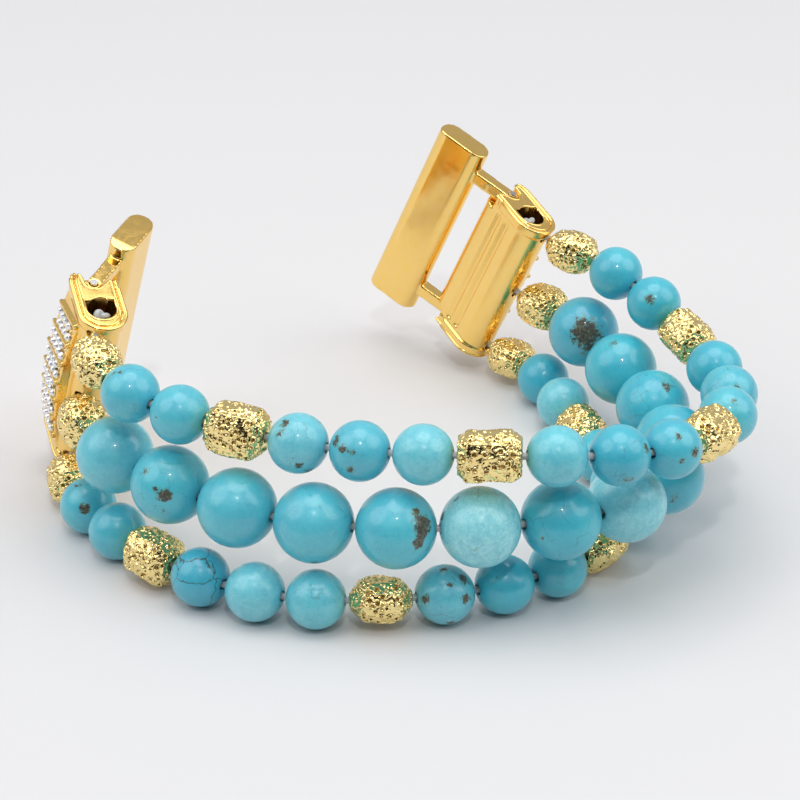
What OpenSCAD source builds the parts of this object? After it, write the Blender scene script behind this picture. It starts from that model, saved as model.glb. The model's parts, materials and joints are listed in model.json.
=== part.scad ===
// Stretch watch band: three elastic strands of turquoise beads and gold nuggets between two
// metal connectors, each with a slide-in adapter on a spring bar. It lies on its edge, opened
// as it is worn, with the bottom strand on the table.
// A strand is measured along its path, from the left connector round the front to the right one.

/* [Beads] */
// Diameter of a small turquoise bead
small_d = 6; // [5.6:0.1:6.4]
// Diameter of a large turquoise bead
large_d = 8; // [7.6:0.1:8.4]
// Length of a gold nugget along its cord
nugget_len = 6.2; // [5.8:0.1:6.6]
// Widest size of a gold nugget across its cord
nugget_w = 5.8; // [5:0.1:6.2]
// Diameter of the hole through each bead and nugget
bore_d = 1.1; // [1:0.05:1.4]
// Least gap between neighbouring beads on a strand
bead_gap = 0.26; // [0.22:0.02:0.34]
// Gap between neighbouring rows of beads
row_gap = 0.8; // [0.7:0.05:1.2]

/* [Cords] */
// Diameter of the elastic cord
cord_d = 0.7; // [0.5:0.05:0.8]
// Diameter of the knot at each end of a cord
knot_d = 2.2; // [1.8:0.1:2.4]

/* [Loop] */
// Direction in which the strands leave the left connector
start_heading = -80; // [-90:1:-70]
// Length of the tight bend next to each connector
end_run = 7; // [6:0.5:8]
// Turn of the tight bend next to the left connector
left_turn = 28; // [20:1:34]
// Turn of the long front stretch
front_turn = 66; // [60:1:72]
// Turn of the far side
side_turn = 91; // [84:1:96]
// Turn of the back stretch
back_turn = 17; // [12:1:22]
// Turn of the tight bend next to the right connector
right_turn = 34; // [26:1:38]
// Share of the loop that the front stretch takes
front_share = 0.48; // [0.44:0.01:0.5]
// Share of the loop that the far side takes
side_share = 0.3; // [0.28:0.01:0.34]

/* [Lean] */
// Sideways lean of a row at the left connector
lean_x_left = 2.2; // [1.8:0.1:2.6]
// Sideways lean of a row at the front
lean_x_front = 4.9; // [4.4:0.1:5.2]
// Sideways lean of a row where the front turns into the far side
lean_x_bend = 4.8; // [4.4:0.1:5.2]
// Sideways lean of a row at the back of the far side
lean_x_side = 5.7; // [5.2:0.1:6]
// Sideways lean of a row at the right connector
lean_x_right = 3; // [2.6:0.1:3.4]
// Backwards lean of a row at the left connector
lean_y_left = -2.8; // [-3:0.1:-2.4]
// Backwards lean of a row at the front
lean_y_front = 1.2; // [0.8:0.1:1.6]
// Backwards lean of a row where the front turns into the far side
lean_y_bend = -0.6; // [-1:0.1:-0.2]
// Backwards lean of a row at the back of the far side
lean_y_side = 0.5; // [0.2:0.1:0.8]
// Backwards lean of a row at the right connector
lean_y_right = -1.8; // [-2.2:0.1:-1.4]
// How much further apart the rows lie where they enter the left connector
left_spread = 1.15; // [0.8:0.05:1.3]
// Distance over which the rows spread towards it
spread_run = 10; // [8:0.5:12]

/* [Connectors] */
// Thickness of a connector
conn_t = 4.6; // [4.5:0.1:4.9]
// Distance from the spring bar to the middle of the connector's nose
web_len = 4.5; // [4.4:0.1:5]
// How far a connector runs past its outer cord holes
conn_margin = 1.3; // [1.2:0.1:1.8]
// Width of the chamber that holds the knots
chamber_w = 3.2; // [3:0.1:3.3]
// Wall of the nose, which the cords pass through
nose_wall = 1.3; // [1.2:0.05:1.4]
// Wall between the spring bar's notch and the chamber
saddle_t = 1.6; // [1.4:0.1:1.8]
// Length of the rim at each end of a connector
rim_len = 1.1; // [0.9:0.1:1.4]
// How far the rim stands out
rim_out = 0.25; // [0.15:0.05:0.35]
// Width of the groove in each end face
groove_w = 0.25; // [0.2:0.05:0.3]
// Depth of the groove in each end face
groove_cut = 0.3; // [0.2:0.05:0.4]
// Radius of the round lobes beside an arm's notch
lobe_r = 0.6; // [0.5:0.05:0.65]
// Gap between a connector's nose and the first nugget
seat_gap = 0.6; // [0.5:0.05:0.9]
// Angle by which the strands bend where they enter the left connector
left_bend = -40; // [-44:1:-32]
// Turn of the left connector from the line of its strands
left_swing = -3; // [-8:1:4]
// Turn of the right connector from the line of its strands
right_swing = -13; // [-18:1:-8]

/* [Rhinestone face] */
// Height of the crowned face at its middle
crown_h = 1.2; // [0.8:0.1:1.5]
// Height of the crowned face at its ends
crown_end_h = 0.15; // [0.1:0.05:0.2]
// Diameter of a rhinestone
stone_d = 0.9; // [0.8:0.02:0.94]
// Height of a rhinestone
stone_h = 0.5; // [0.4:0.05:0.6]
// Gap round a rhinestone
stone_gap = 0.14; // [0.12:0.02:0.2]
// Thickness of a rope ridge along the face
ridge_w = 0.5; // [0.4:0.05:0.6]
// How far a rope ridge stands out
ridge_h = 0.4; // [0.3:0.05:0.5]
// Slant of the rope ridges
ridge_slant = 14; // [10:1:20]

/* [Adapters] */
// Length of an adapter's bar
adapter_len = 24; // [23:0.5:25]
// Thickness of an adapter's bar
adapter_t = 3; // [2.8:0.1:3.2]
// Depth of an adapter's bar, in line with its arms
adapter_w = 6.5; // [6:0.1:7]
// Reach of an arm from the spring bar to the near edge of the adapter's bar
arm_reach = 4.8; // [4.6:0.1:5.4]
// Width of an arm
arm_w = 1.6; // [1.5:0.1:1.8]
// Thickness of an arm, along the spring bar
arm_t = 1.5; // [1.3:0.1:1.7]
// Width of the tongue at the end of an arm
tongue_w = 1.5; // [1.4:0.1:1.6]
// Diameter of the latch button
latch_d = 2; // [1.8:0.1:2.4]
// How far the latch button stands out
latch_out = 0.5; // [0.4:0.05:0.7]
// Depth of the latch button's pocket
latch_deep = 1.8; // [1.6:0.1:2]
// Angle at which the left adapter rests, folded in from the line of its connector
left_fold = 41; // [36:1:44]
// Angle at which the right adapter rests, folded in from the line of its connector
right_fold = 22; // [16:1:28]
// How far an adapter can fold in from the line of its connector
fold_in = 46; // [40:1:50]
// How far an adapter can fold out from that line
fold_out = 8; // [4:1:10]

/* [Spring bars] */
// Diameter of a spring bar's tube
bar_d = 1.5; // [1.4:0.05:1.6]
// Diameter of a spring bar's tip
tip_d = 0.8; // [0.7:0.05:0.9]
// How far a tip goes into the tube
tip_in = 3; // [2.4:0.1:3.4]
// Diameter of the wire of the spring in the bar
wire_d = 0.2; // [0.15:0.05:0.25]
// Number of turns of the spring in the bar
spring_turns = 8; // [6:1:10]

/* [Place] */
// Distance from the left end of the middle strand to the middle of the band, sideways
centre_x = 33.4; // [31:0.1:35]
// Distance from the left end of the middle strand to the middle of the band, front to back
centre_y = 7.7; // [6:0.1:11]

/* [Hidden] */
$fn = 48;
LARGE_COUNT = 13;
// What each place on an outer strand holds: 1 is a nugget, 0 is a small bead
OUTER = [1, 0, 0, 1, 0, 0, 0, 1, 0, 0, 0, 1, 0, 0, 0, 1, 0, 0, 1];
// The first and last place of each stretch of an outer strand that moves as one
OUTER_RUN = [[0, 0], [1, 1], [2, 4], [5, 5], [6, 8], [9, 9],
    [10, 12], [13, 13], [14, 16], [17, 17], [18, 18]];
INNER = [for (i = [0 : LARGE_COUNT + 1]) i == 0 || i == LARGE_COUNT + 1 ? 1 : 0];

turquoise = "mediumturquoise";
gold = "gold";
// Gap of a pin in its hole, and of a moving piece beside its neighbour
fit_gap = 0.05;
run_gap = 0.2;
// How far a cutting shape runs past what it cuts
past = 1;
// Radius over which a nugget's end rounds off
nugget_end_r = 1.5;
groove_in = 0.1;
lobe_in = 0.06;
band_r = 0.6;
band_cut = 0.2;
stone_seat = 0.01;
stone_facets = 24;
crown_facets = 180;
// Gap between the round of a connector and the wide part of an arm
arm_gap = 0.6;
latch_bevel = 0.3;
notch_depth = arm_t + 2 * run_gap;
row_pitch = (small_d + large_d) / 2 + row_gap;
nose_r = conn_t / 2;
chamber_r = chamber_w / 2;
notch_r = arm_w / 2 + run_gap;
chamber_x = notch_r + saddle_t;
chamber_end = web_len + nose_r - nose_wall;
knot_x = (chamber_x + chamber_end) / 2;

// The path of the middle strand
steps = 240;
inner_sum = 2 * nugget_len + LARGE_COUNT * large_d;
outer_sum = sum_of([for (kind = OUTER) kind == 1 ? nugget_len : small_d]);
loop_len = max(inner_sum + len(INNER) * bead_gap, outer_sum + len(OUTER) * bead_gap);
step = loop_len / steps;
free_len = loop_len - 2 * end_run;
front_len = free_len * front_share;
side_len = free_len * side_share;
back_len = free_len - front_len - side_len;
STATIONS = [0, 0.3, 0.55, 0.78, 1];
LEAN_X = [lean_x_left, lean_x_front, lean_x_bend, lean_x_side, lean_x_right];
LEAN_Y = [lean_y_left, lean_y_front, lean_y_bend, lean_y_side, lean_y_right];

function sum_of(list) = list * [for (value = list) 1];
function unit(v) = v / norm(v);
function share(s, from, long) = min(max((s - from) / long, 0), 1);
function heading(s) = start_heading + left_turn * share(s, 0, end_run)
    + front_turn * share(s, end_run, front_len)
    + side_turn * share(s, end_run + front_len, side_len)
    + back_turn * share(s, end_run + front_len + side_len, back_len)
    + right_turn * share(s, loop_len - end_run, end_run);
function eased(a, b, u) = a + (b - a) * (1 - cos(180 * u)) / 2;
function place_of(t, i = 0) = i >= len(STATIONS) - 2 || t <= STATIONS[i + 1] ? i : place_of(t, i + 1);
function by_station(t, values) = let (i = place_of(t))
    eased(values[i], values[i + 1], (t - STATIONS[i]) / (STATIONS[i + 1] - STATIONS[i]));

PLAN = [for (i = 0, p = [-centre_x, -centre_y]; i <= steps;
    p = p + step * [cos(heading((i + 0.5) * step)), sin(heading((i + 0.5) * step))], i = i + 1) p];
// The step from one row to the next, all along the path
RULING = [for (i = [0 : steps])
    let (g = [by_station(i / steps, LEAN_X), by_station(i / steps, LEAN_Y)],
        a = heading(i * step), across = -g.x * sin(a) + g.y * cos(a),
        apart = row_pitch + eased(left_spread, 0, share(i * step, 0, spread_run)))
    [g.x, g.y, sqrt(apart * apart - across * across)]];
// Paths of the bottom, middle and top strand
PATHS = [for (row = [-1 : 1]) [for (i = [0 : steps])
    [PLAN[i].x, PLAN[i].y, small_d / 2 + RULING[i].z] + row * RULING[i]]];
// Distance run along each strand at each step
RUNS = [for (path = PATHS) [for (i = 0, d = 0; i <= steps;
    i = i + 1, d = d + (i <= steps ? norm(path[i] - path[i - 1]) : 0)) d]];
STEP_AT = [for (run = RUNS) [for (i = [0 : steps]) [run[i], i]]];

function along(list, at) = let (i = min(floor(at), steps - 1)) list[i] + (list[i + 1] - list[i]) * (at - i);
function step_at(row, run) = lookup(run, STEP_AT[row + 1]);
function point_at(row, run) = along(PATHS[row + 1], step_at(row, run));
function ruling_at(row, run) = along(RULING, step_at(row, run));

// What each place on a strand holds
function kinds_of(row) = row == 0 ? INNER : OUTER;
function bead_d(row) = row == 0 ? large_d : small_d;
function item_len(row, i) = kinds_of(row)[i] == 1 ? nugget_len : bead_d(row);
// Neighbours lean open where the strand turns: what each needs on its side of a turn
function lean_room(row, i, turn) =
    kinds_of(row)[i] == 1 ? nugget_end_r * sin(turn / 2) : bead_d(row) / 2 * (1 - cos(turn / 2));
function dir_at(row, run) = let (i = min(floor(step_at(row, run)), steps - 1))
    unit(PATHS[row + 1][i + 1] - PATHS[row + 1][i]);
// Half the room at each meeting of neighbours, with mids as rough places of their middles
function room_of(row, mids) = let (n = len(mids)) [0, for (i = [0 : n - 2])
    let (turn = acos(min(dir_at(row, mids[i]) * dir_at(row, mids[i + 1]), 1)))
    (lean_room(row, i, turn) + lean_room(row, i + 1, turn)) / 2, 0];
function rough_mids(row) =
    let (n = len(kinds_of(row)), gap = (RUNS[row + 1][steps] - items_sum(row)) / n)
    [for (i = 0, at = 0; i < n; at = at + item_len(row, i) + gap, i = i + 1)
        at + (item_len(row, i) + gap) / 2];
function items_sum(row) = row == 0 ? inner_sum : outer_sum;
// Distances along the strand at which neighbours meet, in the middle of the gap between them
function joins_of(row) = let (n = len(kinds_of(row)), room = room_of(row, rough_mids(row)),
        gap = (RUNS[row + 1][steps] - items_sum(row) - 2 * sum_of(room)) / n)
    [for (i = 0, run = 0; i <= n;
        run = run + (i < n ? item_len(row, i) + gap + room[i] + room[i + 1] : 0), i = i + 1) run];
JOIN_RUNS = [for (row = [-1 : 1]) joins_of(row)];
JOINS = [for (row = [-1 : 1]) [for (run = JOIN_RUNS[row + 1]) point_at(row, run)]];
function centre_of(row, i) = (JOINS[row + 1][i] + JOINS[row + 1][i + 1]) / 2;
function axis_of(row, i) = unit(JOINS[row + 1][i + 1] - JOINS[row + 1][i]);

// A frame at p with X along x, Z as near to up as it can be, and Y square to both. On a strand
// Z looks to the row above and Y to the inside of the loop.
function frame_of(p, x, up) = let (z = unit(up - (up * x) * x), y = cross(z, x))
    [[x.x, y.x, z.x, p.x], [x.y, y.y, z.y, p.y], [x.z, y.z, z.z, p.z], [0, 0, 0, 1]];

module on_strand(row, i) {
    up = ruling_at(row, (JOIN_RUNS[row + 1][i] + JOIN_RUNS[row + 1][i + 1]) / 2);
    multmatrix(frame_of(centre_of(row, i), axis_of(row, i), up)) children();
}

module cord_hole(long) {
    rotate([0, 90, 0]) cylinder(d = bore_d, h = long, center = true);
}

module bead(d) {
    color(turquoise) difference() {
        sphere(d = d);
        cord_hole(d + past);
    }
}

// A cast nugget: rounded rings along the cord, pinched at the waist, tapered and lumpy
nugget_rings = 7;
nugget_sides = 12;
// How near its ends come to their full roundness
end_fill = 0.97;
// Height of its lumps, their turn along it, and what sets one nugget's lumps apart from the next
lump_h = 0.04;
lump_turn = 400;
lump_seeds = [97, 55];
ring_faces = [for (j = [0 : nugget_rings - 2], i = [0 : nugget_sides - 1])
    let (a = j * nugget_sides + i, b = j * nugget_sides + (i + 1) % nugget_sides)
    each [[a, b, b + nugget_sides], [a, b + nugget_sides, a + nugget_sides]]];
cap_faces = [for (i = [1 : nugget_sides - 2]) each
    [[0, i + 1, i], (nugget_rings - 1) * nugget_sides * [1, 1, 1] + [0, i, i + 1]]];

function corner(a, square) = 1 / pow(pow(abs(cos(a)), square) + pow(abs(sin(a)), square), 1 / square);
function nugget_ring(t, w, h, square, round, waist, taper, seed) =
    let (x = (t - 0.5) * nugget_len, u = abs(2 * t - 1),
        fall = pow(1 - pow(u * end_fill, round), 1 / round),
        size = fall * (1 - waist * (1 - u * u)) * (1 + taper * (t - 0.5)))
    [for (i = [0 : nugget_sides - 1])
        let (a = (i + 0.5) * 360 / nugget_sides,
            lump = sin(3 * a + lump_seeds.x * seed) * sin(lump_turn * t + lump_seeds.y * seed),
            r = size * corner(a, square) * (1 + lump_h * lump))
        [x, r * w / 2 * cos(a), r * h / 2 * sin(a)]];

module nugget(shape) {
    // Shape holds width, height, squareness, end squareness, waist, taper and seed
    color(gold) difference() {
        polyhedron([for (j = [0 : nugget_rings - 1]) each
            nugget_ring(j / (nugget_rings - 1), shape[0], shape[1], shape[2],
                shape[3], shape[4], shape[5], shape[6])],
            concat(ring_faces, cap_faces));
        cord_hole(nugget_len + past);
    }
}

slim = nugget_w * 0.82;
mean = nugget_w * 0.9;
stout = nugget_w * 0.95;
TOP_SHAPES = [
    [mean, slim, 2.4, 2.3, 0, 0.1, 1], [mean, stout, 3.2, 4, 0.02, 0, 2],
    [stout, stout, 3.4, 5, 0.13, 0, 3], [mean, mean, 2.6, 4, 0.02, 0.12, 4],
    [stout, mean, 3, 4, 0.08, 0, 5], [mean, slim, 2.5, 2.4, 0, -0.1, 6]];
BOTTOM_SHAPES = [
    [slim, mean, 2.4, 2.3, 0, 0.1, 7], [mean, stout, 2.8, 4, 0.05, 0, 8],
    [mean, slim, 2.2, 2.4, 0, 0, 9], [mean, mean, 3, 3.4, 0.04, 0.1, 10],
    [slim, mean, 2.6, 3.4, 0, -0.1, 11], [mean, slim, 2.4, 2.4, 0, 0, 12]];
MIDDLE_SHAPES = [
    [mean, stout, 2.8, 2.4, 0, 0.1, 13], [stout, mean, 2.5, 2.3, 0, -0.2, 14]];

NUGGET_PLACES = [for (i = [0 : len(OUTER) - 1]) if (OUTER[i] == 1) i];

module outer_nugget(row, n) {
    on_strand(row, NUGGET_PLACES[n - 1]) nugget(row == 1 ? TOP_SHAPES[n - 1] : BOTTOM_SHAPES[n - 1]);
}

module middle_nugget(n) {
    on_strand(0, n == 1 ? 0 : LARGE_COUNT + 1) nugget(MIDDLE_SHAPES[n - 1]);
}

module large_bead(n) {
    on_strand(0, n) bead(large_d);
}

// The small beads of both outer rows that move together
module small_beads(n) {
    for (row = [-1, 1], i = [OUTER_RUN[n][0] : OUTER_RUN[n][1]])
        if (OUTER[i] == 0) on_strand(row, i) bead(small_d);
}

// Connectors. In a connector's own frame X runs from the spring bar to the nose, Z along the
// spring bar towards the top row, and the spring bar lies on the Z axis. The decorated face
// looks to side * Y.
function turned(v, axis, a) = v * cos(a) + cross(axis, v) * sin(a) + axis * (axis * v) * (1 - cos(a));
function row_step(side) = side < 0 ? RULING[0] : RULING[steps];
function bar_dir(side) = unit(row_step(side));
function end_item(side, row) = side < 0 ? 0 : len(kinds_of(row)) - 1;
// Where a strand leaves its last nugget towards the connector
function end_mouth(side, row) = JOINS[row + 1][side < 0 ? 0 : len(kinds_of(row))];
function exit_dir(side) = let (g = bar_dir(side), t = -side * axis_of(0, end_item(side, 0)))
    unit(t - (t * g) * g);
// The nose keeps its gap from the end of the first nugget, however the strands bend there
function nose_bend(side) = side < 0 ? left_bend : 0;
function nose_point(side) = end_mouth(side, 0) - (nose_r + seat_gap) / cos(nose_bend(side))
    * turned(exit_dir(side), bar_dir(side), nose_bend(side));
function swung_dir(side) =
    turned(exit_dir(side), bar_dir(side), side < 0 ? left_swing : right_swing);
function conn_frame(side) = let (dir = swung_dir(side))
    frame_of(nose_point(side) - web_len * dir, dir, bar_dir(side));
function hole_pitch(side) = norm(row_step(side));
function conn_len(side) = 2 * (hole_pitch(side) + conn_margin);

// Point of the strand's end in the connector's own frame
function rows_of(m) = [for (j = [0 : 2]) [m[0][j], m[1][j], m[2][j]]];
function local_point(side, p) = let (m = conn_frame(side), d = p - [m[0][3], m[1][3], m[2][3]])
    [for (axis = rows_of(m)) axis * d];
function knot_local(side, row) = [knot_x, 0, row * hole_pitch(side)];
function to_world(side, q) = let (m = conn_frame(side))
    [for (j = [0 : 2]) m[j][0] * q.x + m[j][1] * q.y + m[j][2] * q.z + m[j][3]];

function adapter_turn(side) = side * (side < 0 ? left_fold : right_fold);

module on_connector(side) {
    multmatrix(conn_frame(side)) children();
}

module long_oval(x1, x2, r, long) {
    linear_extrude(long, center = true) {
        translate([x1, 0]) circle(r);
        translate([x2, 0]) circle(r);
        translate([(x1 + x2) / 2, 0]) square([x2 - x1, 2 * r], center = true);
    }
}

module chamber(long) {
    linear_extrude(long, center = true) {
        translate([chamber_end - chamber_r, 0]) circle(chamber_r);
        translate([chamber_x, -chamber_r]) square([chamber_end - chamber_r - chamber_x, chamber_w]);
    }
}

// The room that an arm sweeps, seen along the spring bar, with round lobes beside it
module swept_notch(side) {
    reach = 2 * conn_t;
    low = side < 0 ? -fold_in : -fold_out;
    high = side < 0 ? fold_out : fold_in;
    lobe_y = notch_r + lobe_r;
    lobe_x = sqrt(pow(nose_r + rim_out - lobe_r - lobe_in, 2) - lobe_y * lobe_y);
    circle(notch_r);
    polygon([[0, 0], for (a = [low, (low + high) / 2, high]) -reach * [cos(a), sin(a)]]);
    for (wall = [[low, 1], [high, -1]]) rotate(wall[0]) {
        translate([-reach, -notch_r]) square([reach, 2 * notch_r]);
        difference() {
            translate([-reach, wall[1] > 0 ? 0 : -reach]) square([reach - lobe_x, reach]);
            translate([-lobe_x, wall[1] * lobe_y]) circle(lobe_r);
        }
    }
}

// The decorated face, crowned along the connector: the radius of its crown, and how far the
// middle of that radius lies from the plane of the spring bar
crown_over = 0.4;
crown_x1 = -crown_over;
crown_x2 = web_len + crown_over;
crown_tuck = 0.1;
crown_root = 0.5;
function crown_r(side) = let (half = conn_len(side) / 2 - rim_len, rise = crown_h - crown_end_h)
    (rise * rise + half * half) / (2 * rise);
function crown_mid(side) = nose_r + crown_h - crown_r(side);
module crown_slab(side, lift) {
    long = conn_len(side) - 2 * rim_len + 2 * crown_tuck;
    intersection() {
        translate([crown_x1, side * crown_mid(side), 0]) rotate([0, 90, 0])
            cylinder(r = crown_r(side) + lift, h = crown_x2 - crown_x1, $fn = crown_facets);
        translate([crown_x1 - past, side > 0 ? crown_root : -crown_root - 2 * conn_t, -long / 2])
            cube([crown_x2 - crown_x1 + 2 * past, 2 * conn_t, long]);
    }
}

// Two lines of stones fit between neighbouring ridges
line_step = stone_d + stone_gap;
ridge_pitch = (ridge_w + 2 * line_step + stone_gap) / cos(ridge_slant);
function ridge_count(side) = floor(conn_len(side) / ridge_pitch / 2);
module ridges(side) {
    intersection() {
        crown_slab(side, ridge_h);
        for (n = [-ridge_count(side) : ridge_count(side)])
            translate([(crown_x1 + crown_x2) / 2, 0, n * ridge_pitch]) rotate([0, -ridge_slant, 0])
                cube([3 * web_len, 4 * conn_t, ridge_w], center = true);
    }
}

module connector(side) {
    long = conn_len(side);
    on_connector(side) color(gold) difference() {
        union() {
            long_oval(0, web_len, nose_r, long);
            for (end = [-1, 1]) translate([0, 0, end * (long - rim_len) / 2])
                long_oval(0, web_len, nose_r + rim_out, rim_len);
            crown_slab(side, 0);
            ridges(side);
        }
        chamber(long + past);
        cylinder(d = bar_d + 2 * fit_gap, h = long + past, center = true);
        for (end = [-1, 1]) {
            translate([0, 0, end * (long - notch_depth) / 2])
                linear_extrude(notch_depth + 0.01, center = true) swept_notch(side);
            translate([0, 0, end * long / 2]) end_groove();
        }
        for (row = [-1 : 1]) cord_way(side, row);
        for (n = [1, 2]) translate([n * web_len / 3, -side * (nose_r + band_r - band_cut), 0])
            cylinder(r = band_r, h = long - 2 * (rim_len + band_r), center = true);
    }
}

// A groove round the end face, which makes the rim look double
module end_groove() {
    difference() {
        long_oval(0, web_len, nose_r - groove_in, 2 * groove_cut);
        long_oval(0, web_len, nose_r - groove_in - groove_w, 4 * groove_cut);
    }
}

// The hole through the nose for one cord
module cord_way(side, row) {
    from = knot_local(side, row);
    to = local_point(side, end_mouth(side, row));
    dir = unit(to - from);
    translate(from) rotate([0, acos(dir.z), atan2(dir.y, dir.x)])
        cylinder(d = bore_d, h = 2 * web_len);
}

// Rhinestones stand in two lines between neighbouring ridges, one line half a step along
module rhinestones(side) {
    half = conn_len(side) / 2 - rim_len - line_step / 2;
    r = crown_r(side);
    face_mid = (crown_x1 + crown_x2) / 2;
    lines = ridge_count(side);
    reach = ceil((crown_x2 - crown_x1) / 2 / cos(ridge_slant) / line_step);
    on_connector(side) color("white")
        for (n = [-lines : lines - 1], line = [-1, 1], k = [-reach : reach]) {
            run = (k + line / 4) * line_step;
            beside = line * line_step / 2;
            x = face_mid + run * cos(ridge_slant) - beside * sin(ridge_slant);
            z = (n + 0.5) * ridge_pitch + run * sin(ridge_slant) + beside * cos(ridge_slant);
            tilt = asin(z / r);
            if (abs(z) < half && x > crown_x1 + line_step / 2 && x < crown_x2 - line_step / 2)
                translate([x, side * crown_mid(side), 0]) rotate([side * (tilt - 90), 0, 0])
                    translate([0, 0, r + stone_seat]) stone();
        }
}

module stone() {
    $fn = stone_facets;
    cylinder(d = stone_d, h = stone_h / 2);
    translate([0, 0, stone_h / 2]) cylinder(d1 = stone_d, d2 = stone_d / 2, h = stone_h / 2);
}

// Cords
function cord_route(row) = [
    to_world(-1, knot_local(-1, row)),
    each JOINS[row + 1],
    to_world(1, knot_local(1, row))];

cord_sides = 8;
module tube(route, d) {
    n = len(route);
    up = [0, 0, 1];
    rings = [for (i = [0 : n - 1])
        let (x = unit(route[min(i + 1, n - 1)] - route[max(i - 1, 0)]),
            y = unit(cross(up, x)), z = cross(x, y))
        each [for (j = [0 : cord_sides - 1]) let (a = 360 * j / cord_sides)
            route[i] + d / 2 * (cos(a) * y + sin(a) * z)]];
    walls = [for (j = [0 : n - 2], i = [0 : cord_sides - 1])
        let (a = j * cord_sides + i, b = j * cord_sides + (i + 1) % cord_sides)
        each [[a, b + cord_sides, b], [a, a + cord_sides, b + cord_sides]]];
    caps = [for (i = [1 : cord_sides - 2]) each
        [[0, i, i + 1], (n - 1) * cord_sides * [1, 1, 1] + [0, i + 1, i]]];
    polyhedron(rings, concat(walls, caps));
}

module cord(row) {
    route = cord_route(row);
    color("whitesmoke") union() {
        tube(route, cord_d);
        for (p = [route[0], route[len(route) - 1]]) translate(p) sphere(d = knot_d);
    }
}

// Adapters. In an adapter's own frame the spring bar lies on the Z axis and the arms reach
// towards minus X.
module on_adapter(side) {
    on_connector(side) rotate(adapter_turn(side)) children();
}

function arm_z(side) = conn_len(side) / 2 - notch_depth / 2;
adapter_mid = arm_reach + adapter_w / 2;
flat = adapter_w - adapter_t;
module adapter(side) {
    on_adapter(side) color("goldenrod") difference() {
        union() {
            translate([-adapter_mid, 0, 0]) intersection() {
                long_oval(-flat / 2, flat / 2, adapter_t / 2, adapter_len);
                rotate([90, 0, 0]) long_oval(-flat / 2, flat / 2, adapter_len / 2, 2 * adapter_t);
            }
            for (end = [-1, 1]) translate([0, 0, end * arm_z(side)]) {
                translate([-arm_reach - adapter_t / 2, -arm_w / 2, -arm_t / 2])
                    cube([arm_reach + adapter_t / 2 - nose_r - arm_gap, arm_w, arm_t]);
                translate([-arm_reach, -tongue_w / 2, -arm_t / 2]) cube([arm_reach, tongue_w, arm_t]);
                cylinder(d = tongue_w, h = arm_t, center = true);
            }
        }
        cylinder(d = tip_d + 2 * fit_gap, h = 2 * adapter_len, center = true);
        latch_pocket(side);
    }
}

// The latch button stands out of the flat face that looks to the outside
module latch_pocket(side) {
    translate([-adapter_mid, side * (adapter_t / 2 - latch_deep), 0])
        rotate([side > 0 ? -90 : 90, 0, 0]) cylinder(d = latch_d + 2 * fit_gap, h = adapter_t);
}

module latch(side) {
    straight = latch_deep - fit_gap - latch_bevel;
    on_adapter(side) color("goldenrod")
        translate([-adapter_mid, side * (adapter_t / 2 - latch_deep + latch_out + fit_gap), 0])
            rotate([side > 0 ? -90 : 90, 0, 0]) {
                cylinder(d = latch_d, h = straight);
                translate([0, 0, straight])
                    cylinder(d1 = latch_d, d2 = latch_d - 2 * latch_bevel, h = latch_bevel);
            }
}

// Spring bars
function tube_len(side) = conn_len(side) - 2 * notch_depth - 2 * run_gap;
function tip_len(side) = tip_in + run_gap + notch_depth;
bar_wall = (bar_d - tip_d) / 2 - fit_gap;

module bar_tube(side) {
    on_connector(side) color("silver") difference() {
        cylinder(d = bar_d, h = tube_len(side), center = true);
        cylinder(d = bar_d - 2 * bar_wall, h = tube_len(side) + past, center = true);
    }
}

module tip(side, end) {
    on_connector(side) color("silver") mirror([0, 0, end > 0 ? 0 : 1])
        translate([0, 0, tube_len(side) / 2 - tip_in]) cylinder(d = tip_d, h = tip_len(side));
}

module bar_spring(side) {
    long = tube_len(side) - 2 * tip_in - 2 * fit_gap - wire_d;
    r = tip_d / 2 - wire_d / 2;
    per_turn = 8;
    n = spring_turns * per_turn;
    on_connector(side) color("gray") tube([for (i = [0 : n])
        [r * cos(360 * i / per_turn), r * sin(360 * i / per_turn), long * (i / n - 0.5)]], wire_d);
}

for (n = [1 : LARGE_COUNT]) large_bead(n);
for (n = [1 : 6]) outer_nugget(1, n);
for (n = [1 : 6]) outer_nugget(-1, n);
for (n = [1 : 9]) small_beads(n);
middle_nugget(1);  // middle_nugget_left
middle_nugget(2);  // middle_nugget_right
cord(1);  // top_cord
cord(0);  // middle_cord
cord(-1);  // bottom_cord
connector(-1);  // left_connector
connector(1);  // right_connector
rhinestones(-1);  // left_rhinestones
rhinestones(1);  // right_rhinestones
adapter(-1);  // left_adapter
adapter(1);  // right_adapter
latch(-1);  // left_latch
latch(1);  // right_latch
bar_tube(-1);  // left_bar_tube
bar_tube(1);  // right_bar_tube
bar_spring(-1);  // left_bar_spring
bar_spring(1);  // right_bar_spring
tip(-1, 1);  // left_tip_top
tip(-1, -1);  // left_tip_bottom
tip(1, 1);  // right_tip_top
tip(1, -1);  // right_tip_bottom
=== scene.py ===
"""Stretch watch band of turquoise beads and gold nuggets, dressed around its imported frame."""
import json
import math
import random

import bmesh
import bpy
import numpy as np
from bpy.props import FloatProperty, FloatVectorProperty, IntProperty, PointerProperty
from mathutils import Matrix, Vector, noise

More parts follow.
